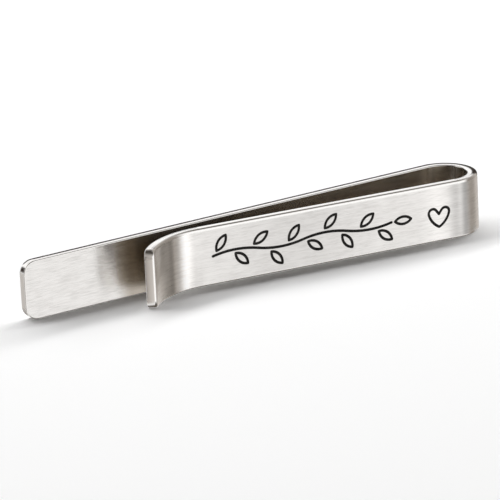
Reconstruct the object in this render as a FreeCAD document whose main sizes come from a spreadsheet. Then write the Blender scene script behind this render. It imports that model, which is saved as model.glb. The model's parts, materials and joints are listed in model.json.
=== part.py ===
import FreeCAD, Part
import math
import os

import Sketcher
from FreeCAD import Vector

# A slide tie clip bent from one flat strip of brushed steel that stands on its edge.
# X runs along the long rear leg towards the bow, Z is the width of the strip, and the
# engraved front face looks to minus Y. Sizes are in millimetres, angles in degrees.
# The strip is described in its zones: flat rear leg, bow, flat front leg, flared lip.

doc = FreeCAD.newDocument("tie_clip")

# Driving sizes
SIZES = (
    ("overall_length", 60.0, "rear tip to the outside of the bow"),
    ("strip_width", 7.0, "width of the strip"),
    ("strip_gauge", 1.2, "thickness of the strip"),
    ("outer_round", 0.3, "rounding of the edges on the outside of the hairpin"),
    ("inner_round", 0.12, "rounding of the edges on its inside"),
    ("bow_inner_radius", 3.0, "inside radius of the bow"),
    ("leg_converge", 7.6, "lean of the front leg towards the rear leg"),
    ("face_length", 33.5, "flat length of the front leg"),
    ("lip_bend_radius", 9.65, "mid line radius of the flared lip"),
    ("lip_angle", 60.0, "turn of the flared lip"),
    ("tip_corner", 1.6, "corner radius of the rear tip"),
    ("lip_corner", 1.1, "corner radius of the lip"),
    ("groove_depth", 0.2, "depth of the engraving"),
    ("fill_recess", 0.04, "depth of the fill below the face"),
    ("stroke_width", 0.34, "width of an engraved line"),
    ("heart_width", 2.7, "heart, mid line width"),
    ("heart_height", 2.3, "heart, mid line height"),
    ("heart_place", 2.7, "heart centre from the bow end of the face"),
    ("heart_drop", 0.5, "heart centre below the middle of the strip"),
    ("sprig_place", 6.4, "bow end of the sprig from the bow end of the face"),
    ("sprig_margin", 1.4, "start of the sprig from the lip end of the face"),
    ("sprig_wave", 0.35, "rise of each wave of the stem"),
    ("leaf_length", 2.1, "leaf, tip to tip on its mid line"),
    ("leaf_width", 0.9, "leaf, mid line width"),
    ("leaf_lean", 44.0, "lean of a leaf from the stem"),
    ("leaf_gap", 0.15, "bare metal between a leaf and the stem"),
    ("leaf_pitch", 2.28, "step along the stem from leaf to leaf, about"),
)

sheet = doc.addObject("Spreadsheet::Sheet", "Sizes")
for row, (alias, value, note) in enumerate(SIZES, start=1):
    sheet.set(f"A{row}", note)
    sheet.set(f"B{row}", str(value))
    sheet.setAlias(f"B{row}", alias)
doc.recompute()


def size(alias):
    """The number in the sheet under this alias."""
    return float(sheet.get(alias))


# Sizes that follow from the driving ones, as expressions on the sheet
BOW_MID = "(Sizes.bow_inner_radius + Sizes.strip_gauge / 2)"
BOW_X = "(Sizes.overall_length / 2 - Sizes.bow_inner_radius - Sizes.strip_gauge)"
REAR_LENGTH = "(Sizes.overall_length - Sizes.bow_inner_radius - Sizes.strip_gauge)"
LIP_INNER = "(Sizes.lip_bend_radius - Sizes.strip_gauge / 2)"
LEAN = "(Sizes.leg_converge * 1 deg)"
FRONT_X = f"{BOW_X} - {BOW_MID} * sin{LEAN}"
FRONT_Y = f"-{BOW_MID} * cos{LEAN}"
LIP_X = f"{FRONT_X} - Sizes.face_length * cos{LEAN} - Sizes.lip_bend_radius * sin{LEAN}"
LIP_Y = f"{FRONT_Y} + Sizes.face_length * sin{LEAN} - Sizes.lip_bend_radius * cos{LEAN}"


def place(thing, x, y, lean=None):
    """Bind where a piece stands on the ground plane and its turn about Z."""
    thing.setExpression("Placement.Base.x", x)
    thing.setExpression("Placement.Base.y", y)
    if lean:
        thing.setExpression("Placement.Rotation.Angle", f"-{lean}")


def plane_of(body, role):
    """The origin plane of the body with this role."""
    return [part for part in body.Origin.OriginFeatures if part.Role == role][0]


def box_sketch(body, name, role, corners, sizes):
    """A rectangle on an origin plane, with its lengths bound to the sheet."""
    sketch = body.newObject("Sketcher::SketchObject", name)
    sketch.AttachmentSupport = [(plane_of(body, role), "")]
    sketch.MapMode = "FlatFace"
    for start, end in zip(corners, corners[1:] + corners[:1]):
        sketch.addGeometry(Part.LineSegment(Vector(*start, 0), Vector(*end, 0)), False)
    for side in range(4):
        sketch.addConstraint(Sketcher.Constraint("Coincident", side, 2, (side + 1) % 4, 1))
    for side, kind in enumerate(("Horizontal", "Vertical", "Horizontal", "Vertical")):
        sketch.addConstraint(Sketcher.Constraint(kind, side))
    for constraint, expression in sizes:
        number = sketch.addConstraint(constraint)
        if expression:
            sketch.setExpression(f"Constraints[{number}]", expression)
    doc.recompute()
    return sketch


def edges_where(feature, test):
    """Names of the edges of a feature whose bounding box passes the test."""
    return [f"Edge{number}" for number, edge in enumerate(feature.Shape.Edges, start=1)
            if test(edge.BoundBox)]


def fillet(body, name, base, edges, radius):
    """Round the named edges of the base feature."""
    feature = body.newObject("PartDesign::Fillet", name)
    feature.Base = (base, edges)
    feature.setExpression("Radius", radius)
    doc.recompute()
    return feature


def near(value, target):
    """Whether two lengths agree to a thousandth of a millimetre."""
    return abs(value - target) < 0.001


def flat_leg(name, long, length):
    """A straight zone of the strip from the bow end at the origin along minus X."""
    body = doc.addObject("PartDesign::Body", name)
    wide = size("strip_width")
    corners = [(-long, 0.0), (0.0, 0.0), (0.0, wide), (-long, wide)]
    sizes = [
        (Sketcher.Constraint("Coincident", 0, 2, -1, 1), None),
        (Sketcher.Constraint("Distance", 0, long), length),
        (Sketcher.Constraint("Distance", 1, wide), "Sizes.strip_width"),
    ]
    sketch = box_sketch(body, f"{name}_outline", "XZ_Plane", corners, sizes)
    pad = body.newObject("PartDesign::Pad", f"{name}_strip")
    pad.Profile = sketch
    pad.SideType = "Symmetric"
    pad.setExpression("Length", "Sizes.strip_gauge")
    doc.recompute()
    return body, pad


def curved_zone(name, inner, inner_radius, angle, clockwise):
    """A bent zone of the strip: its section swung about the vertical bend axis."""
    body = doc.addObject("PartDesign::Body", name)
    gauge, wide = size("strip_gauge"), size("strip_width")
    corners = [(inner, 0.0), (inner + gauge, 0.0), (inner + gauge, wide), (inner, wide)]
    sizes = [
        (Sketcher.Constraint("PointOnObject", 0, 1, -1), None),
        (Sketcher.Constraint("DistanceX", -1, 1, 0, 1, inner), inner_radius),
        (Sketcher.Constraint("Distance", 0, gauge), "Sizes.strip_gauge"),
        (Sketcher.Constraint("Distance", 1, wide), "Sizes.strip_width"),
    ]
    sketch = box_sketch(body, f"{name}_section", "YZ_Plane", corners, sizes)
    bend = body.newObject("PartDesign::Revolution", f"{name}_bend")
    bend.Profile = sketch
    bend.ReferenceAxis = (sketch, ["V_Axis"])
    bend.Reversed = clockwise
    bend.setExpression("Angle", angle)
    doc.recompute()
    return body, bend


WIDE = size("strip_width")
HALF_GAUGE = size("strip_gauge") / 2
BOW_REACH = size("bow_inner_radius") + size("strip_gauge")


def on_plane(y):
    """A test for rim edges on one face of a flat zone, away from where the next zone starts."""
    def test(edge):
        box = edge.BoundBox
        on_face = near(box.YMin, y) and near(box.YMax, y)
        return on_face and box.XMin < -0.001 and box.ZLength < WIDE - 0.001
    return test


def on_radius(radius):
    """A test for rim edges on one face of a bent zone, away from where the next zone starts."""
    def test(edge):
        on_face = all(near(math.hypot(point.X, point.Y), radius) for point in edge.Vertexes)
        return on_face and edge.BoundBox.ZLength < WIDE - 0.001
    return test


def round_rims(body, name, base, on_outside, on_inside):
    """Round the rim of a zone on the outside of the hairpin, then on its inside."""
    for radius, test in (("outer_round", on_outside), ("inner_round", on_inside)):
        edges = [f"Edge{number}" for number, edge in enumerate(base.Shape.Edges, start=1) if test(edge)]
        base = fillet(body, f"{name}_{radius}", base, edges, f"Sizes.{radius}")


# Rear leg: the long flat leg that goes behind the tie, with a rounded tip
rear_leg, rear_strip = flat_leg("rear_leg", size("overall_length") - BOW_REACH, REAR_LENGTH)
tip_x = rear_strip.Shape.BoundBox.XMin
tip_edges = edges_where(rear_strip, lambda box: near(box.XMax, tip_x) and box.ZLength < 0.001)
rear_tip = fillet(rear_leg, "rear_tip", rear_strip, tip_edges, "Sizes.tip_corner")
round_rims(rear_leg, "rear", rear_tip, on_plane(HALF_GAUGE), on_plane(-HALF_GAUGE))
place(rear_leg, BOW_X, BOW_MID)

# Spring bow: the half turn, and a little more, that joins the legs and gives the grip
spring_bow, bow_bend = curved_zone(
    "spring_bow", size("bow_inner_radius"), "Sizes.bow_inner_radius",
    "180 + Sizes.leg_converge", True)
round_rims(spring_bow, "bow", bow_bend, on_radius(BOW_REACH), on_radius(size("bow_inner_radius")))
place(spring_bow, BOW_X, "0")

# Front leg before engraving: the flat show face that leans in towards the rear leg
front_blank, front_strip = flat_leg("front_blank", size("face_length"), "Sizes.face_length")
round_rims(front_blank, "front", front_strip, on_plane(-HALF_GAUGE), on_plane(HALF_GAUGE))
place(front_blank, FRONT_X, FRONT_Y, LEAN)

# Flared lip: the lead-in at the end of the front leg, curling away from the rear leg
flared_lip, lip_bend = curved_zone(
    "flared_lip", size("lip_bend_radius") - HALF_GAUGE, LIP_INNER, "Sizes.lip_angle", False)
lip_end_x = lip_bend.Shape.BoundBox.XMin
lip_corner_edges = edges_where(
    lip_bend, lambda box: box.ZLength < 0.001 and near(box.XMin, lip_end_x) and box.XLength < 2.0)
lip_tip = fillet(flared_lip, "lip_tip", lip_bend, lip_corner_edges, "Sizes.lip_corner")
LIP_MID = size("lip_bend_radius")
round_rims(flared_lip, "lip", lip_tip, on_radius(LIP_MID - HALF_GAUGE), on_radius(LIP_MID + HALF_GAUGE))
place(flared_lip, LIP_X, LIP_Y, LEAN)


# Engraving: outlines drawn on the mid plane of the front leg, X along it and Z up it
def stroke(wire):
    """A flat band of the stroke width centred on a wire."""
    half = size("stroke_width") / 2
    if not wire.isClosed():
        return Part.Face(wire.makeOffset2D(half, 0, False, False))
    outside = Part.Face(wire.makeOffset2D(half))
    inside = Part.Face(wire.makeOffset2D(-half))
    return outside.cut(inside).Faces[0]


def arc(start, middle, end):
    """A circular arc through three points given as X and Z."""
    points = [Vector(x, 0, z) for x, z in (start, middle, end)]
    return Part.Arc(*points).toShape()


# Shape of the heart: radius of a lobe as a share of the width, depth of the notch as a share
# of the height, and the angle below level at which a side leaves its lobe
LOBE_SHARE = 0.2
NOTCH_SHARE = 0.31
SIDE_LEAVES = math.radians(15)


def around(centre, radius, angle):
    """The point of a circle at an angle."""
    return (centre[0] + radius * math.cos(angle), centre[1] + radius * math.sin(angle))


def heart_wire():
    """Two round lobes, straight into the notch, with bowed sides that meet in a point. Each
    side is the arc that leaves its lobe smoothly and ends in the point."""
    radius = size("heart_width") * LOBE_SHARE
    top = size("heart_height") / 2
    lobe = (size("heart_width") / 2 - radius, top - radius)
    notch = (0.0, top - size("heart_height") * NOTCH_SHARE)
    foot = (0.0, -top)

    rise = lobe[1] - notch[1]
    leaves_notch = math.atan2(rise, lobe[0]) + math.asin(radius / math.hypot(lobe[0], rise))
    crest = around(lobe, radius, leaves_notch + math.pi / 2)
    crown = around(lobe, radius, (leaves_notch + math.pi / 2 - SIDE_LEAVES) / 2)
    touch = around(lobe, radius, -SIDE_LEAVES)

    drop = (foot[0] - touch[0], foot[1] - touch[1])
    outwards = (math.cos(SIDE_LEAVES), -math.sin(SIDE_LEAVES))
    side_radius = -(drop[0] ** 2 + drop[1] ** 2) / (2 * (drop[0] * outwards[0] + drop[1] * outwards[1]))
    side_centre = around(touch, -side_radius, -SIDE_LEAVES)
    foot_angle = math.atan2(foot[1] - side_centre[1], foot[0] - side_centre[0])
    flank = around(side_centre, side_radius, (foot_angle - SIDE_LEAVES) / 2)

    def at(point, side):
        return (side * point[0] - size("heart_place"), point[1] + WIDE / 2 - size("heart_drop"))

    def half(side):
        into_notch = [Vector(x, 0, z) for x, z in (at(notch, side), at(crest, side))]
        return [Part.makeLine(*into_notch),
                arc(at(crest, side), at(crown, side), at(touch, side)),
                arc(at(touch, side), at(flank, side), at(foot, side))]

    return Part.Wire(Part.__sortEdges__(half(1) + half(-1)))


# The sprig fills the face between its two margins: a waved stem from the lip end, as many
# leaves along it as the pitch gives, and one leaf past its bow end
WAVES = 4
FIRST_LEAF_SHARE = 0.25
LEAF_CLEAR = size("stroke_width") + size("leaf_gap")
STEM_END = -size("sprig_place") - size("leaf_length") - LEAF_CLEAR
STEM_START = -size("face_length") + size("sprig_margin")
STEM_LENGTH = STEM_END - STEM_START
STEM_Z = WIDE / 2
LEAVES = round(STEM_LENGTH / size("leaf_pitch"))


def stem_wire():
    """A gentle wave of equal arcs that bend up and down by turns."""
    step = STEM_LENGTH / WAVES
    arcs = []
    for wave in range(WAVES):
        left = STEM_START + wave * step
        rise = size("sprig_wave") * (1 if wave % 2 == 0 else -1)
        arcs.append(arc((left, STEM_Z), (left + step / 2, STEM_Z + rise), (left + step, STEM_Z)))
    return Part.Wire(arcs)


def leaf_wire(base_x, base_z, lean):
    """A pointed leaf of two arcs from its base, leaning from the X direction."""
    along = (math.cos(lean), math.sin(lean))
    across = (-along[1], along[0])

    def at(share, offset):
        run, off = share * size("leaf_length"), offset * size("leaf_width") / 2
        return (base_x + run * along[0] + off * across[0], base_z + run * along[1] + off * across[1])

    return Part.Wire([arc(at(0, 0), at(0.5, 1), at(1, 0)), arc(at(1, 0), at(0.5, -1), at(0, 0))])


def leaf_wires():
    """Leaves by turns above and below the stem, and one at its end."""
    lean = math.radians(size("leaf_lean"))
    spacing = STEM_LENGTH / LEAVES
    wires = []
    for leaf in range(LEAVES):
        side = 1 if leaf % 2 == 0 else -1
        run = (leaf + FIRST_LEAF_SHARE) * spacing
        turn = WAVES * math.pi / STEM_LENGTH
        stem_z = STEM_Z + size("sprig_wave") * math.sin(run * turn)
        slope = math.atan(size("sprig_wave") * turn * math.cos(run * turn))
        base_x = STEM_START + run - side * LEAF_CLEAR * math.sin(slope)
        base_z = stem_z + side * LEAF_CLEAR * math.cos(slope)
        wires.append(leaf_wire(base_x, base_z, slope + side * lean))
    wires.append(leaf_wire(STEM_END + LEAF_CLEAR, STEM_Z, 0.0))
    return wires


heart_bands = [stroke(heart_wire())]
stem_bands = [stroke(stem_wire())]
leaf_bands = [stroke(wire) for wire in leaf_wires()]


def raised(bands, start_y, depth):
    """The bands made solid from a height on Y, inwards by a depth."""
    solids = []
    for band in bands:
        flat = band.copy()
        flat.translate(Vector(0, start_y, 0))
        solids.append(flat.extrude(Vector(0, depth, 0)))
    return solids[0] if len(solids) == 1 else Part.makeCompound(solids)


# Grooves: cut through the front face to the engraving depth
grooves = doc.addObject("Part::Feature", "grooves")
groove_depth = size("groove_depth")
grooves.Shape = raised(
    heart_bands + stem_bands + leaf_bands, -HALF_GAUGE - groove_depth, 2 * groove_depth)
place(grooves, FRONT_X, FRONT_Y, LEAN)
doc.recompute()

front_leg = doc.addObject("Part::Cut", "front_leg")
front_leg.Base = front_blank
front_leg.Tool = grooves


# Fills: dark colour that lies in the grooves a little below the face
def fill(name, bands):
    """A fill that rests on the bottom of its grooves."""
    piece = doc.addObject("Part::Feature", name)
    recess = size("fill_recess")
    piece.Shape = raised(bands, -HALF_GAUGE + recess, groove_depth - recess)
    place(piece, FRONT_X, FRONT_Y, LEAN)
    return piece


heart_fill = fill("heart_fill", heart_bands)
stem_fill = fill("stem_fill", stem_bands)
leaf_fills = fill("leaf_fills", leaf_bands)
doc.recompute()

# Check every object, then write one file for each piece
for thing in doc.Objects:
    bad = [word for word in thing.State if word in ("Invalid", "Error")]
    if bad:
        raise RuntimeError(f"{thing.Name} is {bad}")

os.makedirs("parts", exist_ok=True)
for piece in (rear_leg, spring_bow, front_leg, flared_lip, heart_fill, stem_fill, leaf_fills):
    shape = piece.Shape
    if shape.isNull() or not shape.isValid() or shape.Volume <= 0:
        raise RuntimeError(f"{piece.Label} has no valid solid")
    shape.exportStep(f"parts/{piece.Label}.step")
    box = shape.BoundBox
    print(piece.Label, len(shape.Solids), "solids", round(shape.Volume, 3), "mm3",
          [round(v, 2) for v in (box.XMin, box.XMax, box.YMin, box.YMax, box.ZMin, box.ZMax)])
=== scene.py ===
# %% [markdown]
# A slide tie clip in brushed steel
#
# The real thing is a single strip of steel bent into a hairpin: a long flat rear leg, a round
# springy bow, a shorter front leg with a dark engraved ornament, and a lip that flares out so
# that a tie slides in. The flat legs and the engraving come in finished from the CAD frame.
# Here they get their metal, and the two bent zones are made again as finer surfaces, because
# polished metal shows every facet of a coarse curve.

# %% Load the frame
import json
import math

import bpy
import numpy as np
from mathutils import Matrix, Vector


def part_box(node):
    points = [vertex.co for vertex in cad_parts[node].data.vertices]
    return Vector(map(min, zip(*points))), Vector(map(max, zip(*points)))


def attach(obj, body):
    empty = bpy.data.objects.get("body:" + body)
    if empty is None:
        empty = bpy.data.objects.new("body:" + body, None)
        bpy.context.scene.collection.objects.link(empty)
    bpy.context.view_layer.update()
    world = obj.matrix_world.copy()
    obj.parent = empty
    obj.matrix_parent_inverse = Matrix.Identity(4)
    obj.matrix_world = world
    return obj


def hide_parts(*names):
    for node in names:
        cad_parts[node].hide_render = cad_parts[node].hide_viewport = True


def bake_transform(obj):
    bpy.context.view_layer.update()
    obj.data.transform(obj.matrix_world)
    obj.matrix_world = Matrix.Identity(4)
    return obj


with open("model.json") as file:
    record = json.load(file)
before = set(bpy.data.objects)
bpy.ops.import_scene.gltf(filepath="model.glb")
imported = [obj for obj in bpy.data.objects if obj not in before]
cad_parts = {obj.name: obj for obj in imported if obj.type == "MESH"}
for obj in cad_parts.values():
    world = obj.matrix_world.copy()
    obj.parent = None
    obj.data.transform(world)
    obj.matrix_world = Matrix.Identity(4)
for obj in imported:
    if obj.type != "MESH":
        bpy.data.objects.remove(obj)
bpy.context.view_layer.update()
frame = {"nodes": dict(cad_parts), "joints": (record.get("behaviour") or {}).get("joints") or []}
nodes = frame["nodes"]

# %% [markdown]
# Sizes of the strip
#
# The strip's width and thickness and the bow's axis can be read from the frame, so that the
# new pieces always meet the CAD legs. The bends follow from a few more sizes, in metres. The
# edges on the outside of the hairpin are well rounded, those on its inside are crisper. A
# place on the strip is then given by how far it lies along the strip from the rear tip, and
# how high it lies across its width, whichever zone it is in.

# %% Sizes of the strip
MM = 0.001
rear_low, rear_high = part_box("rear_leg")
WIDTH = rear_high.z - rear_low.z
GAUGE = rear_high.y - rear_low.y
REAR_TIP = rear_low.x
BOW_X, BOW_Y = frame["joints"][0]["pos_m"][:2]
REAR_MIDDLE = (rear_low.y + rear_high.y) / 2
BOW_RADIUS = REAR_MIDDLE - BOW_Y
OUTER_ROUND = 0.3 * MM
INNER_ROUND = 0.12 * MM
LEAN = math.radians(7.6)
FACE_LENGTH = 33.5 * MM
LIP_RADIUS = 9.65 * MM
LIP_TURN = math.radians(60.0)
LIP_CORNER = 1.1 * MM

REAR_LENGTH = BOW_X - REAR_TIP
BOW_LENGTH = BOW_RADIUS * (math.pi + LEAN)
FACE_START = REAR_LENGTH + BOW_LENGTH
LIP_START = FACE_START + FACE_LENGTH
STRIP_END = LIP_START + LIP_RADIUS * LIP_TURN

front_start = np.array([BOW_X - BOW_RADIUS * math.sin(LEAN), BOW_Y - BOW_RADIUS * math.cos(LEAN)])
along_face = np.array([-math.cos(LEAN), math.sin(LEAN)])
out_of_face = np.array([-math.sin(LEAN), -math.cos(LEAN)])
lip_centre = front_start + along_face * FACE_LENGTH + out_of_face * LIP_RADIUS
print(f"strip {WIDTH / MM:.2f} by {GAUGE / MM:.2f} mm, {STRIP_END / MM:.1f} mm along its mid line")

# %% [markdown]
# The bent zones
#
# A bent zone of the strip is a flat plate with rounded edges that is wrapped round an upright
# axis. The plate's outline gives the first parameter and its edge profile the second: a
# quarter round, a short flat and a quarter round. The outline shrinks by the profile's inset
# at each step, so a rounded corner keeps an even rim all the way round. Wrapping turns the
# length along the plate into an angle. This is finer than a bent and bevelled box, and each
# point also knows its place along the strip, which the brushed finish needs later.

# %% Edge profile and outline of a plate
ROUND_STEPS = 7
CORNER_STEPS = 9


def edge_profile(near_round, far_round):
    """Depth and inset of the plate's edge, from the face nearer the axis to the other face. A
    quarter turn with the near radius is followed by one with the far radius. Depth is the
    radius times minus the cosine of the turn, set out to its face, and inset is the radius
    times one minus the sine."""
    first = np.linspace(0, math.pi / 2, ROUND_STEPS)
    turn = np.concatenate([first, first + math.pi / 2])
    radius = np.repeat([near_round, far_round], ROUND_STEPS)
    face = np.repeat([near_round - GAUGE / 2, GAUGE / 2 - far_round], ROUND_STEPS)
    return face - radius * np.cos(turn), radius * (1 - np.sin(turn))


def half_outline(length, steps, corner, inset):
    """Run along the plate and half height above its middle, for each inset. The run is even
    up to the corner, then both follow a circle whose radius is the corner less the inset."""
    run = np.broadcast_to(np.linspace(0, length - corner, steps), (len(inset), steps))
    height = np.broadcast_to(WIDTH / 2 - inset[:, None], run.shape)
    if corner == 0:
        return run, height
    turn = np.linspace(0, math.pi / 2, CORNER_STEPS)[1:]
    radius = (corner - inset)[:, None]
    run = np.hstack([run, length - corner + radius * np.sin(turn)])
    height = np.hstack([height, WIDTH / 2 - corner + radius * np.cos(turn)])
    return run, height


bow_edge = edge_profile(INNER_ROUND, OUTER_ROUND)
lip_edge = edge_profile(OUTER_ROUND, INNER_ROUND)
print("edge profiles of", len(bow_edge[0]), "points")

# %% Wrapped plate as a mesh
SHARP_ANGLE = math.radians(35)


def quads(a, b, c, d):
    """Quads from four arrays of corner numbers of one shape."""
    return np.stack([a, b, c, d], axis=-1).reshape(-1, 4)


def plate_faces(top, bottom):
    """Quads of the closed plate from the point numbers of its upper and lower rim grids:
    both rims, the two faces between them and the two ends."""
    first, last = (top[0], bottom[0]), (top[-1], bottom[-1])
    start, stop = (top[:, 0], bottom[:, 0]), (top[:, -1], bottom[:, -1])
    return np.concatenate([
        quads(top[:-1, :-1], top[:-1, 1:], top[1:, 1:], top[1:, :-1]),
        quads(bottom[:-1, :-1], bottom[1:, :-1], bottom[1:, 1:], bottom[:-1, 1:]),
        quads(first[0][:-1], first[1][:-1], first[1][1:], first[0][1:]),
        quads(last[0][:-1], last[0][1:], last[1][1:], last[1][:-1]),
        quads(start[0][:-1], start[0][1:], start[1][1:], start[1][:-1]),
        quads(stop[0][:-1], stop[1][:-1], stop[1][1:], stop[0][1:]),
    ])


def signed_volume(points, faces):
    """Six times the volume inside quads, above zero when they all face outwards."""
    a, b, c, d = (points[faces[:, corner]] for corner in range(4))
    return np.sum(np.cross(a, b) * c) + np.sum(np.cross(a, c) * d)


def bent_zone(name, edge, inside, centre, radius, start, turn, steps, corner, strip_start):
    """A plate wrapped round an upright axis: the angle is the start angle plus the turn's
    sign times run over radius, and the distance from the axis is radius plus depth. The
    inside of the hairpin lies at minus or plus depth, as the given sign says."""
    depth, inset = edge
    run, height = half_outline(radius * abs(turn), steps, corner, inset)
    angle = start + math.copysign(1, turn) * run / radius
    reach = radius + depth[:, None]
    x = centre[0] + reach * np.cos(angle)
    y = centre[1] + reach * np.sin(angle)
    upper = np.stack([x, y, WIDTH / 2 + height], axis=-1).reshape(-1, 3)
    lower = np.stack([x, y, WIDTH / 2 - height], axis=-1).reshape(-1, 3)
    points = np.concatenate([upper, lower])
    top = np.arange(x.size).reshape(x.shape)
    faces = plate_faces(top, top + x.size)
    if signed_volume(points, faces) < 0:
        faces = faces[:, ::-1]

    mesh = bpy.data.meshes.new(name)
    mesh.from_pydata(points, [], faces.tolist())
    mesh.shade_smooth()
    mesh.set_sharp_from_angle(angle=SHARP_ANGLE)
    place = np.zeros_like(points)
    place[:, 0] = strip_start + np.tile(run.ravel(), 2)
    place[:, 1] = points[:, 2]
    place[:, 2] = inside * np.tile(np.repeat(depth, run.shape[1]), 2)
    mesh.attributes.new("strip_place", "FLOAT_VECTOR", "POINT").data.foreach_set(
        "vector", place.astype(np.float32).ravel())
    piece = bpy.data.objects.new(name, mesh)
    bpy.context.scene.collection.objects.link(piece)
    print(name, len(points), "points", len(faces), "quads")
    return piece


# %% [markdown]
# Bow and lip
#
# The bow turns half way round and a little further, clockwise seen from above. The
# lip turns the other way, ends in two small rounded corners, and moves with the front leg.

# %% Bow and lip
bow = bent_zone("bow_strip", bow_edge, -1, (BOW_X, BOW_Y), BOW_RADIUS, math.pi / 2,
                -(math.pi + LEAN), steps=181, corner=0, strip_start=REAR_LENGTH)
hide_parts("spring_bow")
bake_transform(bow)

lip = bent_zone("lip_strip", lip_edge, 1, lip_centre, LIP_RADIUS, math.pi / 2 - LEAN,
                LIP_TURN, steps=61, corner=LIP_CORNER, strip_start=LIP_START)
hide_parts("flared_lip")
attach(lip, "front")

# %% [markdown]
# Shader maths
#
# A material is easier to read as sums than as boxes and wires. One small class holds an output
# socket. Plus, minus and times on it add Math nodes, and its node method adds any other node:
# settings first, then values or links for its inputs.

# %% A socket that does arithmetic


class Shade:
    """An output socket of a node tree, or the bare tree."""

    def __init__(self, tree, socket=None):
        self.tree = tree
        self.socket = socket

    def node(self, kind, inputs, output=0, **settings):
        """Add a node, set it up, feed its inputs and give one of its outputs."""
        made = self.tree.nodes.new(kind)
        for name, value in settings.items():
            setattr(made, name, value)
        for name, value in inputs.items():
            if isinstance(value, Shade):
                self.tree.links.new(value.socket, made.inputs[name])
            else:
                made.inputs[name].default_value = value
        return Shade(self.tree, made.outputs[output])

    def math(self, operation, first, second):
        """A Math node that works on two values."""
        return self.node("ShaderNodeMath", {0: first, 1: second}, operation=operation)

    def __add__(self, other):
        return self.math("ADD", self, other)

    def __sub__(self, other):
        return self.math("SUBTRACT", self, other)

    def __rsub__(self, other):
        return self.math("SUBTRACT", other, self)

    def __mul__(self, other):
        return self.math("MULTIPLY", self, other)

    __radd__ = __add__
    __rmul__ = __mul__

    def ramp(self, low, high):
        """A smooth rise from 0 at low to 1 at high, or a fall where low is the larger."""
        return self.node("ShaderNodeMapRange", {"Value": self, "From Min": low, "From Max": high},
                         interpolation_type="SMOOTHSTEP")

    def mix(self, first, second):
        """A colour between two others, with this value as the share of the second."""
        return self.node("ShaderNodeMix", {0: self, 6: first, 7: second}, output=2, data_type="RGBA")


def new_material(name):
    """A material with one Principled shader, and the bare tree to build on."""
    material = bpy.data.materials.new(name)
    material.use_nodes = True
    tree = material.node_tree
    return material, Shade(tree), tree.nodes["Principled BSDF"]


def feed(shader, name, value):
    """Link a value that changes over the surface to a socket of the shader."""
    value.tree.links.new(value.socket, shader.inputs[name])


print("shader helpers ready")

# %% [markdown]
# Brushed steel
#
# The strip was brushed lengthwise, so its faces carry fine short lines along it and smear what
# they mirror across it. Stretched noise gives the lines: narrow features across the strip, longer
# They tint the steel a little, change its gloss and tilt its surface. Anisotropy
# turned a quarter makes the smear run across the lines. The rim was tumbled smooth, so within the
# rounding of the edges the lines stop and the gloss rises. That rim is wide on the outside of the
# hairpin and narrow on its inside. The narrow edges are also crowned towards the outside, which a
# second bump gives, and the two cut ends are paler and a little rougher than the rim. The inside
# of the hairpin is a little smoother than its outside, and painted shade makes it a little darker.
# Between the legs more painted shade makes it darker still, also where the rear leg mirrors the
# lip, and lighter again towards the bow. Along the bow, the front face and the lip, painted
# highlights and painted shade make the tone rise and fall slowly, standing in for the metal's
# reflections. All zones share one recipe that reads a place on the strip, so the finish runs on
# from zone to zone without a seam.

# %% Distance from the rim
TIP_CORNER = 1.6 * MM


def rim_distance(bare, from_end, across, corner):
    """Distance in from the strip's outline near an end with rounded corners: the corner radius
    less the length of what reaches past the corner's centre, sideways and endways."""
    off_middle = bare.math("ABSOLUTE", across - WIDTH / 2, 0.0)
    sideways = bare.math("MAXIMUM", off_middle - (WIDTH / 2 - corner), 0.0)
    endways = bare.math("MAXIMUM", corner - from_end, 0.0)
    reach = bare.node("ShaderNodeCombineXYZ", {"X": sideways, "Y": endways})
    return corner - bare.node("ShaderNodeVectorMath", {0: reach}, output="Value", operation="LENGTH")


print(f"rounded corners of {TIP_CORNER / MM:.1f} and {LIP_CORNER / MM:.1f} mm")

# %% Colours and gloss of the steel
STEEL_PALE = (0.80, 0.782, 0.762, 1.0)
STEEL_DARK = (0.62, 0.602, 0.582, 1.0)
POLISHED = (0.80, 0.785, 0.765, 1.0)
CUT_END = (0.95, 0.92, 0.885, 1.0)
# Painted shade for the inside between the legs: deep, and lighter towards the bow.
INSIDE_PAINTED_SHADE_DEEP = (0.41, 0.37, 0.318, 1.0)
INSIDE_PAINTED_SHADE_LIGHT = (0.575, 0.52, 0.448, 1.0)
# Painted shade: how much darker the inner half of the hairpin is coloured.
INNER_HALF_PAINTED_SHADE = 0.09
FACE_ROUGHNESS = 0.31
LINE_ROUGHNESS = 0.12
INSIDE_SHINE = 0.1
RIM_ROUGHNESS = 0.14
CUT_ROUGHNESS = 0.28
SMEAR = 0.8
QUARTER_TURN = 0.25
CROWN_START = 0.2
# heights of the two bumps, in millimetres
LINE_DEPTH = 0.0036
CROWN = 0.16
print("roughness", FACE_ROUGHNESS, "on the faces and", RIM_ROUGHNESS, "on the rim")

# %% Rim, cut ends and painted shade inside
MIDDLE_BLEND = 0.1 * GAUGE
RIM_OFF, RIM_FULL = 1.15, 0.6
CUT_OFF, CUT_FULL = 0.1, 0.02
INNER_FACE_FROM, INNER_FACE_FULL = 0.3 * GAUGE, 0.45 * GAUGE
# Where the painted shade inside begins along the strip, and where it stops short of the lip's end.
PAINTED_SHADE_FROM, PAINTED_SHADE_FULL = 11.8 * MM, 14.2 * MM
LIP_UNSHADED, LIP_SHADED = 1.9 * MM, 2.6 * MM


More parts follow.
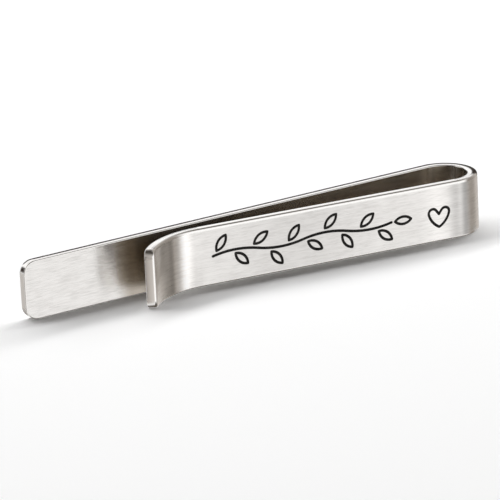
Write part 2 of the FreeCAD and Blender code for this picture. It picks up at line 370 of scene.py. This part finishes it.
def edge_shares(bare, along, across, inwards):
    """Shares of the inner half, the polished rim and the cut ends. The rim is as wide as the
    rounding of the edges, which differs between the outer and the inner half."""
    to_end = STRIP_END - along
    edge = bare.math("MINIMUM", rim_distance(bare, along, across, TIP_CORNER),
                     rim_distance(bare, to_end, across, LIP_CORNER))
    inner_half = inwards.ramp(-MIDDLE_BLEND, MIDDLE_BLEND)
    outer_rim = edge.ramp(RIM_OFF * OUTER_ROUND, RIM_FULL * OUTER_ROUND)
    inner_rim = edge.ramp(RIM_OFF * INNER_ROUND, RIM_FULL * INNER_ROUND)
    rim = outer_rim * (1 - inner_half) + inner_rim * inner_half
    near_end = bare.math("MINIMUM", along, to_end)
    return inner_half, rim, near_end.ramp(CUT_OFF * OUTER_ROUND, CUT_FULL * OUTER_ROUND)


def painted_inside_shade(along, inwards):
    """Share of the painted shade inside, which also darkens the lip's reflection on the rear leg:
    the inner face, without a stretch at the rear tip and a short one at the lip's end."""
    dark = inwards.ramp(INNER_FACE_FROM, INNER_FACE_FULL) * along.ramp(PAINTED_SHADE_FROM, PAINTED_SHADE_FULL)
    return dark * (STRIP_END - along).ramp(LIP_UNSHADED, LIP_SHADED)


print(f"dark inside from {PAINTED_SHADE_FROM / MM:.1f} mm to {(STRIP_END - LIP_UNSHADED) / MM:.1f} mm along the strip")

# %% Painted highlights and shade along the strip


def swell(along, centre, reach, amount):
    """A soft change of tone, used for painted highlights and shade: the amount at the centre, falling to
    nothing at the reach.
    """
    return along.ramp(centre - reach, centre) * along.ramp(centre + reach, centre) * amount


def painted_light_and_shade_along(along):
    """Painted highlights added to the tone and painted shade taken from it along the bow, the face and the
    lip, standing in for the metal's reflections.
    """
    bow_painted_light = (swell(along, FACE_START - 2.9 * MM, reach=1.4 * MM, amount=0.25)
              + swell(along, FACE_START - 1.6 * MM, reach=0.7 * MM, amount=0.2)
              + swell(along, FACE_START - 0.75 * MM, reach=0.7 * MM, amount=-0.45))
    face_painted_light = (swell(along, FACE_START + 0.4 * MM, reach=1.3 * MM, amount=-0.22)
               + swell(along, FACE_START + 3.0 * MM, reach=2.6 * MM, amount=0.15)
               + swell(along, FACE_START + 21.0 * MM, reach=13.0 * MM, amount=-0.12))
    lip_painted_light = (swell(along, LIP_START + 2.4 * MM, reach=1.6 * MM, amount=0.42)
              + swell(along, LIP_START + 4.0 * MM, reach=0.7 * MM, amount=0.22)
              + swell(along, LIP_START + 4.8 * MM, reach=0.8 * MM, amount=-0.2)
              + swell(along, LIP_START + 5.7 * MM, reach=1.5 * MM, amount=-0.15)
              + swell(along, LIP_START + 8.6 * MM, reach=2.2 * MM, amount=0.3))
    return bow_painted_light + face_painted_light + lip_painted_light


print("slow tones ready for the bow, the face and the lip")

# %% Brushed steel recipe
FINE_SHARE, BROAD_SHARE, CLOUD_SHARE = 0.5, 0.3, 0.2
TONE_LOW, TONE_HIGH = 0.34, 0.6
PAINTED_SHADE_LIGHTER_FROM, PAINTED_SHADE_LIGHTER_FULL = 18 * MM, 50 * MM
NOISE_MIDDLE = 0.5


def brushed_steel(name, place_of):
    """Steel whose lines follow the strip. place_of gives the place on the strip as a vector:
    distance from the rear tip, height across the width, and depth from the middle of the
    thickness towards the inside of the hairpin."""
    material, bare, shader = new_material(name)
    place = place_of(bare)
    along = bare.node("ShaderNodeSeparateXYZ", {0: place}, output="X")
    across = bare.node("ShaderNodeSeparateXYZ", {0: place}, output="Y")
    inwards = bare.node("ShaderNodeSeparateXYZ", {0: place}, output="Z")

    def lines(length, width, detail):
        """Noise with features of this length along the strip and width across it."""
        stretched = bare.node("ShaderNodeVectorMath", {0: place, 1: (1 / length, 1 / width, 0)},
                              operation="MULTIPLY")
        return bare.node("ShaderNodeTexNoise", {"Vector": stretched, "Scale": 1.0, "Detail": detail})

    fine = lines(length=1.2 * MM, width=0.06 * MM, detail=4.0)
    broad = lines(length=5 * MM, width=0.3 * MM, detail=3.0)
    cloud = lines(length=2.2 * MM, width=1.1 * MM, detail=2.0)
    inner_half, rim, cut = edge_shares(bare, along, across, inwards)

    tone = fine * FINE_SHARE + broad * BROAD_SHARE + cloud * CLOUD_SHARE
    colour = tone.ramp(TONE_LOW, TONE_HIGH).mix(STEEL_DARK, STEEL_PALE)
    # The level carries painted shade on the inner half and painted highlights and shade along the strip.
    level = 1 - inner_half * INNER_HALF_PAINTED_SHADE + painted_light_and_shade_along(along)
    level = bare.node("ShaderNodeCombineXYZ", {"X": level, "Y": level, "Z": level})
    colour = bare.node("ShaderNodeVectorMath", {0: colour, 1: level}, operation="MULTIPLY")
    # Painted shade between the legs, lighter towards the bow.
    inside = along.ramp(PAINTED_SHADE_LIGHTER_FROM, PAINTED_SHADE_LIGHTER_FULL).mix(INSIDE_PAINTED_SHADE_DEEP, INSIDE_PAINTED_SHADE_LIGHT)
    colour = painted_inside_shade(along, inwards).mix(colour, inside)
    feed(shader, "Base Color", cut.mix(rim.mix(colour, POLISHED), CUT_END))

    uneven = (broad - NOISE_MIDDLE) * LINE_ROUGHNESS + (fine - NOISE_MIDDLE) * LINE_ROUGHNESS
    face_roughness = FACE_ROUGHNESS + uneven - inner_half * INSIDE_SHINE
    rim_roughness = RIM_ROUGHNESS + cut * (CUT_ROUGHNESS - RIM_ROUGHNESS)
    feed(shader, "Roughness", face_roughness * (1 - rim) + rim_roughness * rim)

    outwards = bare.math("MAXIMUM", CROWN_START - inwards * (2 / GAUGE), 0.0)
    off_ends = bare.math("MINIMUM", along, STRIP_END - along).ramp(OUTER_ROUND, 2 * OUTER_ROUND)
    lined = bare.node("ShaderNodeBump", {"Distance": MM, "Height": fine * (1 - rim) * LINE_DEPTH})
    crowned = bare.node("ShaderNodeBump", {"Strength": off_ends, "Distance": MM, "Normal": lined,
                                           "Height": outwards * outwards * -CROWN})
    feed(shader, "Normal", crowned)
    shader.inputs["Metallic"].default_value = 1.0
    shader.inputs["Anisotropic"].default_value = SMEAR
    shader.inputs["Anisotropic Rotation"].default_value = QUARTER_TURN
    print(name, len(bare.tree.nodes), "nodes")
    return material


# %% Places on the strip for each zone


def rear_place(bare):
    """On the flat rear leg: X from the tip, height, and depth inwards from the mid line."""
    seen = bare.node("ShaderNodeTexCoord", {}, output="Object")
    apart = bare.node("ShaderNodeSeparateXYZ", {0: seen}, output="X")
    height = bare.node("ShaderNodeSeparateXYZ", {0: seen}, output="Z")
    deep = REAR_MIDDLE - bare.node("ShaderNodeSeparateXYZ", {0: seen}, output="Y")
    return bare.node("ShaderNodeCombineXYZ", {"X": apart - REAR_TIP, "Y": height, "Z": deep})


def front_place(bare):
    """On the front leg: the run along the leaning face from the bow, height, and depth
    inwards from the mid line."""
    seen = bare.node("ShaderNodeTexCoord", {}, output="Object")
    run = bare.node("ShaderNodeVectorMath", {0: seen, 1: (*along_face, 0)}, output="Value",
                    operation="DOT_PRODUCT")
    height = bare.node("ShaderNodeSeparateXYZ", {0: seen}, output="Z")
    offset = FACE_START - float(front_start @ along_face)
    ahead = bare.node("ShaderNodeVectorMath", {0: seen, 1: (*out_of_face, 0)}, output="Value",
                      operation="DOT_PRODUCT")
    deep = float(front_start @ out_of_face) - ahead
    return bare.node("ShaderNodeCombineXYZ", {"X": run + offset, "Y": height, "Z": deep})


def bent_place(bare):
    """On a bent zone: the place that each point of the mesh carries."""
    return bare.node("ShaderNodeAttribute", {}, output="Vector", attribute_name="strip_place")


def finish(piece, material):
    """Give a piece one material in place of what it came with."""
    piece.data.materials.clear()
    piece.data.materials.append(material)


finish(nodes["rear_leg"], brushed_steel("steel_rear_leg", rear_place))
finish(nodes["front_leg"], brushed_steel("steel_front_leg", front_place))
bent_steel = brushed_steel("steel_bends", bent_place)
finish(bow, bent_steel)
finish(lip, bent_steel)

# %% [markdown]
# Engraving fill
#
# The ornament is cut into the face and filled with a matt black colour. Up close such a fill is
# a little grainy and not quite even, so soft noise varies its black and its gloss and a finer
# noise gives it a grain.

# %% Engraving fill
FILL_DARK = (0.012, 0.011, 0.010, 1.0)
FILL_PALE = (0.032, 0.030, 0.028, 1.0)
FILL_ROUGHNESS, FILL_UNEVEN = 0.5, 0.25
PATCH_SIZE, GRAIN_SIZE, GRAIN_DEPTH = 0.5 * MM, 0.05 * MM, 0.01 * MM

fill, bare, shader = new_material("black_fill")
seen = bare.node("ShaderNodeTexCoord", {}, output="Object")
patch = bare.node("ShaderNodeTexNoise", {"Vector": seen, "Scale": 1 / PATCH_SIZE, "Detail": 2.0})
grain = bare.node("ShaderNodeTexNoise", {"Vector": seen, "Scale": 1 / GRAIN_SIZE, "Detail": 2.0})
feed(shader, "Base Color", patch.ramp(0.35, 0.65).mix(FILL_DARK, FILL_PALE))
feed(shader, "Roughness", FILL_ROUGHNESS + patch * FILL_UNEVEN)
shader.inputs["Specular IOR Level"].default_value = 0.15
feed(shader, "Normal", bare.node("ShaderNodeBump", {"Strength": 0.3, "Distance": GRAIN_DEPTH,
                                                    "Height": grain}))
for name in ("heart_fill", "stem_fill", "leaf_fills"):
    finish(nodes[name], fill)
print("black fill on the heart, stem and leaves")

# %% [markdown]
# Floor, room and light
#
# The clip stands on a plain pale floor in a white studio. A metal shows what stands round it, so
# for its look the room matters more than the lamps. The room is painted by direction: a bright
# band round the horizon, a dimmer ceiling with a dark middle, dim sides, and a few dark places
# such as black cards would give. The bow and the lip mirror them as soft greys and the polished
# edges as thin dark lines. Past the floor the camera sees only white. In reflections the floor is
# see-through, except between the legs, where its shade keeps the inside of the hairpin dark.
# Three soft boxes, two behind the clip and one to its right, light the floor and lay the short
# shadow along the front. The steel doesn't mirror them. The floor gets only a small share of the
# room's light, so that the shadow keeps its depth.

# %% Floor
FLOOR_SIZE = 4.0
FLOOR_WHITE = 0.97
SOFT_EDGE = 0.3 * MM
GAP_FROM, GAP_FULL = -14.5 * MM, -12 * MM
GAP_END = BOW_X + BOW_RADIUS

half = FLOOR_SIZE / 2
floor_mesh = bpy.data.meshes.new("floor")
floor_mesh.from_pydata([(-half, -half, 0), (half, -half, 0), (half, half, 0), (-half, half, 0)], [],
                       [(0, 1, 2, 3)])
floor = bpy.data.objects.new("floor", floor_mesh)
bpy.context.scene.collection.objects.link(floor)

floor_paint, bare, shader = new_material("floor_paint")
shader.inputs["Base Color"].default_value = (FLOOR_WHITE, FLOOR_WHITE, FLOOR_WHITE, 1)
shader.inputs["Roughness"].default_value = 0.9
shader.inputs["Specular IOR Level"].default_value = 0.0
seen = bare.node("ShaderNodeTexCoord", {}, output="Object")
right = bare.node("ShaderNodeSeparateXYZ", {0: seen}, output="X")
back = bare.node("ShaderNodeSeparateXYZ", {0: seen}, output="Y")
ahead = bare.node("ShaderNodeVectorMath", {0: seen, 1: (*out_of_face, 0)}, output="Value",
                  operation="DOT_PRODUCT") - float(front_start @ out_of_face)
gap = ahead.ramp(0, -SOFT_EDGE) * back.ramp(REAR_MIDDLE, REAR_MIDDLE - SOFT_EDGE)
gap = gap * right.ramp(GAP_FROM, GAP_FULL) * right.ramp(GAP_END, GAP_END - SOFT_EDGE)
glossy = bare.node("ShaderNodeLightPath", {}, output="Is Glossy Ray")
painted = Shade(bare.tree, shader.outputs[0])
clear = bare.node("ShaderNodeBsdfTransparent", {})
floor_look = bare.node("ShaderNodeMixShader", {0: glossy * (1 - gap), 1: painted, 2: clear})
bare.tree.links.new(floor_look.socket, bare.tree.nodes["Material Output"].inputs["Surface"])
finish(floor, floor_paint)
print("floor", FLOOR_SIZE, "m wide")

# %% Colours of the room
BAND = (1.25, 1.25, 1.25, 1.0)
CEILING = (0.4, 0.38, 0.36, 1.0)
ZENITH = (0.07, 0.063, 0.056, 1.0)
DIM_RIGHT = (0.33, 0.30, 0.268, 1.0)
PALE_RIGHT = (0.62, 0.58, 0.54, 1.0)
DIM_LEFT = (0.47, 0.44, 0.41, 1.0)
LOW_BACK = (0.52, 0.50, 0.48, 1.0)
BLACK_CARD = (0.05, 0.04, 0.035, 1.0)
NADIR = (0.12, 0.105, 0.09, 1.0)
WHITE = (1.0, 1.0, 1.0, 1.0)
ROOM_ON_FLOOR = 0.1


def paint(room, colour, *edges):
    """The room with one more patch of colour. Each edge is a soft limit of the patch along one
    direction, and the patch is their product."""
    share = edges[0]
    for edge in edges[1:]:
        share = share * edge
    return share.mix(room, colour)


print("room light on the floor", ROOM_ON_FLOOR)

# %% Room by direction
world = bpy.data.worlds.new("studio")
bpy.context.scene.world = world
world.use_nodes = True
bare = Shade(world.node_tree)
seen = bare.node("ShaderNodeTexCoord", {}, output="Generated")
right = bare.node("ShaderNodeSeparateXYZ", {0: seen}, output="X")
back = bare.node("ShaderNodeSeparateXYZ", {0: seen}, output="Y")
up = bare.node("ShaderNodeSeparateXYZ", {0: seen}, output="Z")
behind = back.ramp(0.35, 0.6)

room = paint(BAND, CEILING, up.ramp(0.48, 0.72))
room = paint(room, ZENITH, up.ramp(0.78, 0.92))
room = paint(room, DIM_RIGHT, right.ramp(0.62, 0.86))
room = paint(room, PALE_RIGHT, right.ramp(0.7, 0.9), back.ramp(-0.3, 0.5))
room = paint(room, DIM_LEFT, right.ramp(-0.15, -0.7), back.ramp(0.2, -0.1))
room = paint(room, LOW_BACK, back.ramp(0.5, 0.75), up.ramp(-0.05, -0.2), right.ramp(0.45, 0.2))
room = paint(room, NADIR, up.ramp(-0.45, -0.7), right.ramp(-0.35, 0.0))
# behind: dark lines along the top edges and the glint on the bow
room = paint(room, BLACK_CARD, behind, right.ramp(-0.1, 0.25), up.ramp(0.285, 0.15), up.ramp(-0.29, -0.2))
room = paint(room, BLACK_CARD, behind, right.ramp(0.53, 0.62), up.ramp(0.45, 0.33), up.ramp(-0.1, 0.05))
# on the left: the dark line inside the tip's end and the glint on its upper corner
room = paint(room, BLACK_CARD, right.ramp(-0.66, -0.76), back.ramp(-0.65, -0.5), back.ramp(0.2, 0.1),
             up.ramp(0.6, 0.45))
room = paint(room, BLACK_CARD, back.ramp(0.5, 0.65), right.ramp(-0.36, -0.46), up.ramp(-0.12, 0.0),
             up.ramp(0.42, 0.3))
print("room painted by direction,", len(world.node_tree.nodes), "nodes so far")

# %% What each kind of ray gets from the room
camera_ray = bare.node("ShaderNodeLightPath", {}, output="Is Camera Ray")
diffuse_ray = bare.node("ShaderNodeLightPath", {}, output="Is Diffuse Ray")
strength = 1 - diffuse_ray * (1 - ROOM_ON_FLOOR)
background = world.node_tree.nodes["Background"]
feed(background, "Color", camera_ray.mix(room, WHITE))
feed(background, "Strength", strength)
world.cycles.sampling_method = "NONE"
print("room of", len(world.node_tree.nodes), "nodes")

# %% Three soft boxes
LAMP_DISTANCE = 1.0


def soft_box(name, bearing, rise, width, depth, power):
    """A lamp that looks at the clip and isn't mirrored by it. The bearing is its angle to the
    right of straight behind and the rise its angle above the floor, both in degrees."""
    bearing, rise = math.radians(bearing), math.radians(rise)
    lamp = bpy.data.lights.new(name, "AREA")
    lamp.shape = "RECTANGLE"
    lamp.size = width
    lamp.size_y = depth
    lamp.energy = power
    box = bpy.data.objects.new(name, lamp)
    away = LAMP_DISTANCE * math.cos(rise)
    box.location = (away * math.sin(bearing), away * math.cos(bearing), LAMP_DISTANCE * math.sin(rise))
    box.rotation_euler = box.location.to_track_quat("Z", "Y").to_euler()
    box.visible_glossy = False
    bpy.context.scene.collection.objects.link(box)
    print(name, "of", power, "W at", np.round(box.location, 3))


soft_box("back_box", bearing=-10, rise=52, width=3.0, depth=0.15, power=12.25)
soft_box("high_box", bearing=12, rise=70, width=1.5, depth=0.15, power=4.29)
soft_box("right_box", bearing=75, rise=25, width=0.6, depth=0.2, power=5.51)

# %% [markdown]
# Camera
#
# The photograph was taken with a long lens from the front left, a little above the clip, with a
# slight roll. The camera is placed by angles round a point of the clip, then moved sideways and
# down in its own picture plane until the frame agrees.

# %% Camera
VIEW_AZIMUTH = math.radians(-31.67)
VIEW_ELEVATION = math.radians(18.09)
VIEW_ROLL = math.radians(-2.87)
VIEW_DISTANCE = 530.5 * MM
AIM = np.array([3.8, 0.0, 3.5]) * MM
SLIDE_RIGHT = -4.56 * MM
SLIDE_UP = -1.15 * MM
PICTURE_PIXELS = 500
FOCAL_PIXELS = 4540

back = np.array([math.sin(VIEW_AZIMUTH) * math.cos(VIEW_ELEVATION),
                 -math.cos(VIEW_AZIMUTH) * math.cos(VIEW_ELEVATION), math.sin(VIEW_ELEVATION)])
level_right = np.array([math.cos(VIEW_AZIMUTH), math.sin(VIEW_AZIMUTH), 0.0])
level_up = np.cross(back, level_right)
rolled_right = math.cos(VIEW_ROLL) * level_right + math.sin(VIEW_ROLL) * level_up
rolled_up = math.cos(VIEW_ROLL) * level_up - math.sin(VIEW_ROLL) * level_right
eye = AIM + SLIDE_RIGHT * level_right + SLIDE_UP * level_up + VIEW_DISTANCE * back

lens = bpy.data.cameras.new("camera")
lens.sensor_width = 36
lens.lens = lens.sensor_width * FOCAL_PIXELS / PICTURE_PIXELS
camera = bpy.data.objects.new("camera", lens)
placed = np.eye(4)
placed[:3, :] = np.column_stack([rolled_right, rolled_up, back, eye])
camera.matrix_world = Matrix(placed.tolist())
bpy.context.scene.collection.objects.link(camera)
bpy.context.scene.camera = camera
bpy.context.scene.view_settings.view_transform = "Standard"
print("camera at", np.round(eye, 4))
